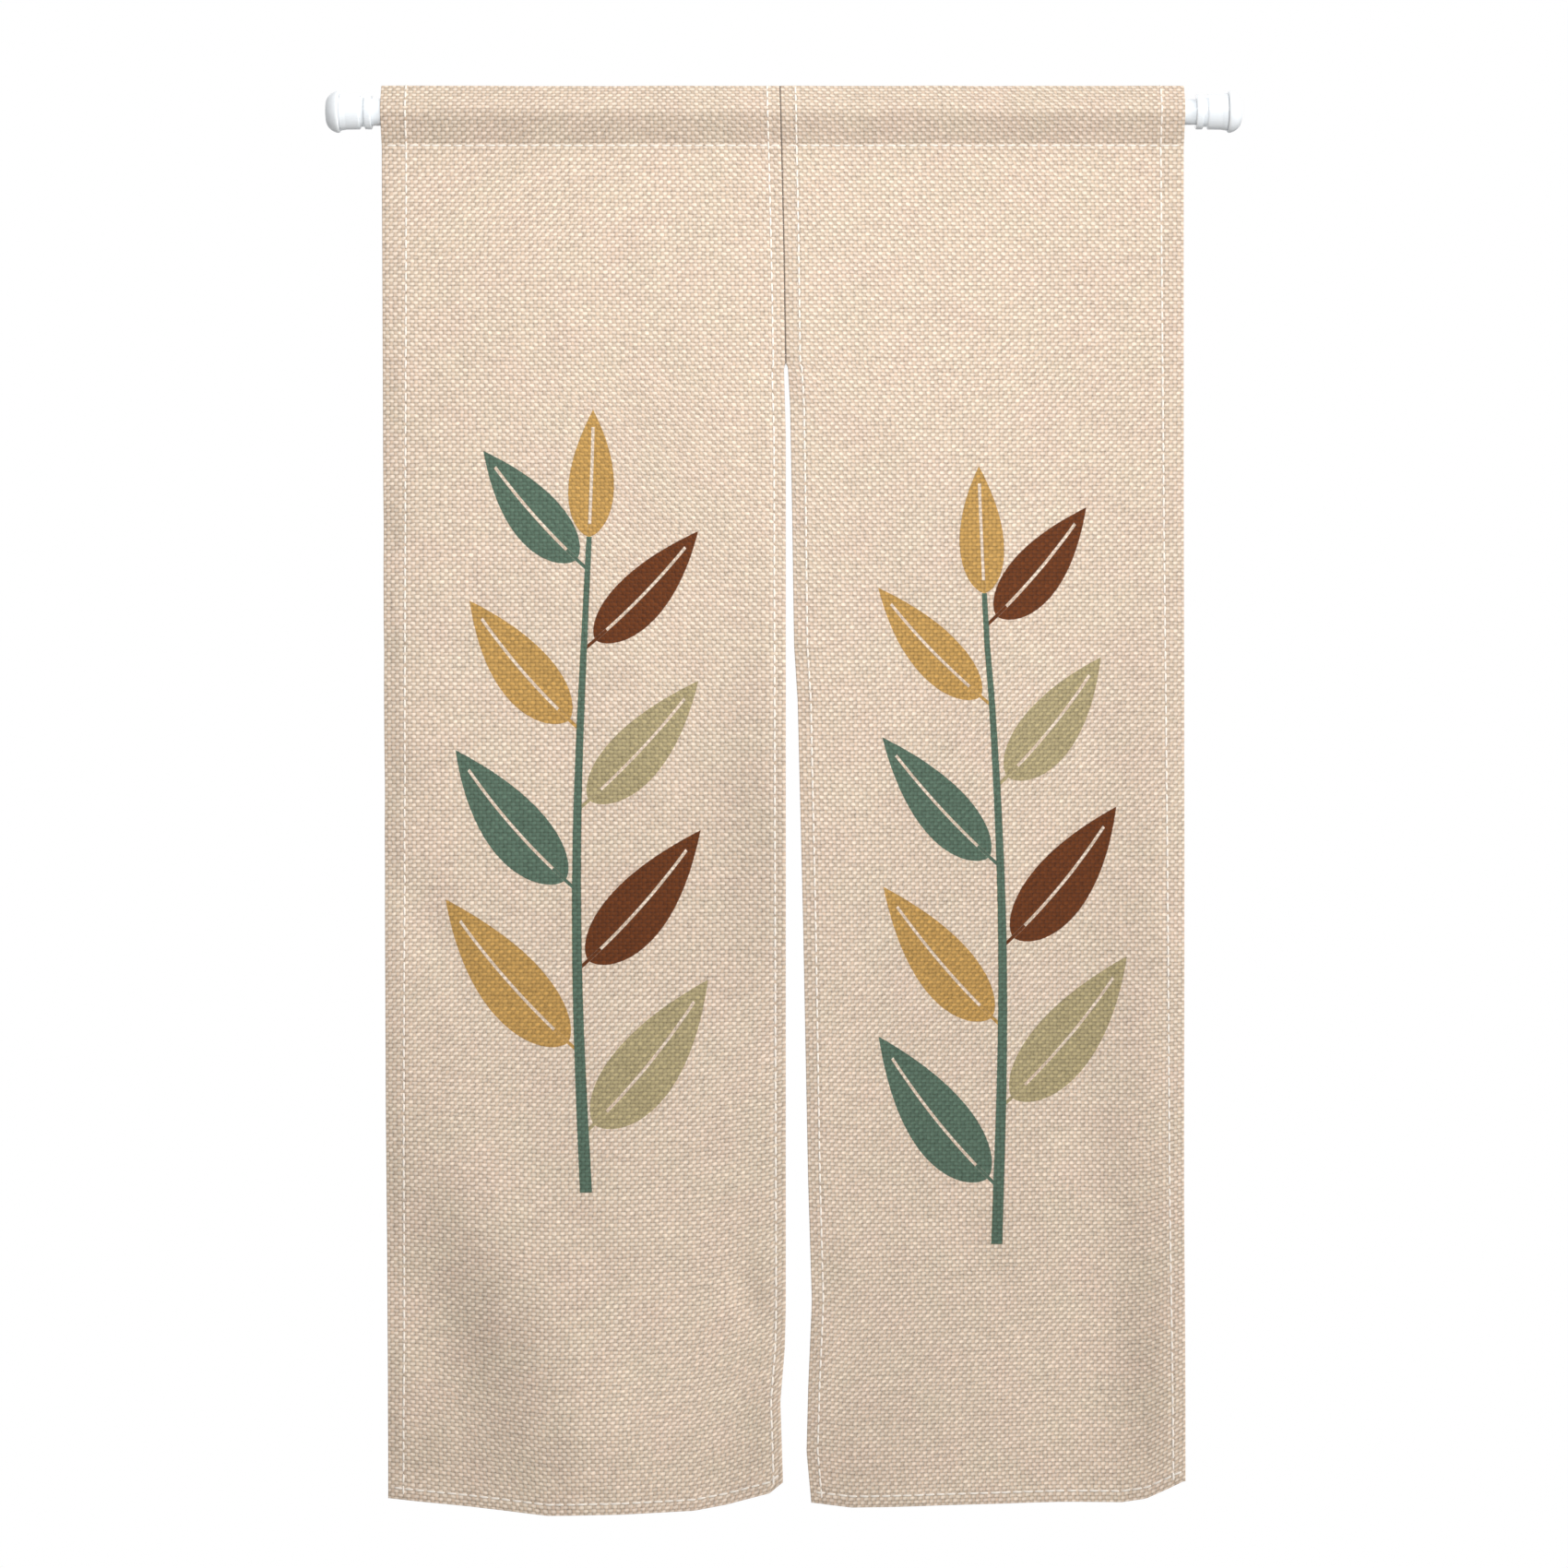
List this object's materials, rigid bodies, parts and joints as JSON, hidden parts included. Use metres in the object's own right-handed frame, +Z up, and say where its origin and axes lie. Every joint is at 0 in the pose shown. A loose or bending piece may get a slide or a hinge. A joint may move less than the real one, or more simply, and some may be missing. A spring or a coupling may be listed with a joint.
{
  "type": "door curtain on a tension rod",
  "caption": "Split door curtain of long cloth panels, seamed together at the top and open below, hung by a rod pocket on a telescoping tension rod with round end feet.",
  "frame": {"origin": "middle of the left foot's flat end face, on the rod's axis", "axes": "+X along the rod towards the right foot, -Y out of the curtain's printed front, +Z up"},
  "size_m": [0.97, 0.044, 1.5143],
  "materials": {
    "cloth": "coarse plain weave, matt, printed",
    "tube": "white powder coat, satin",
    "fitting": "white moulded plastic, satin",
    "foot": "white soft rubber, matt"
  },
  "bodies": {
    "root": {"left_panel": "cloth", "right_panel": "cloth", "outer_tube": "tube", "inner_tube": "tube", "left_end_fitting": "fitting", "right_end_fitting": "fitting", "left_foot": "foot", "right_foot": "foot"}
  },
  "joints": []
}
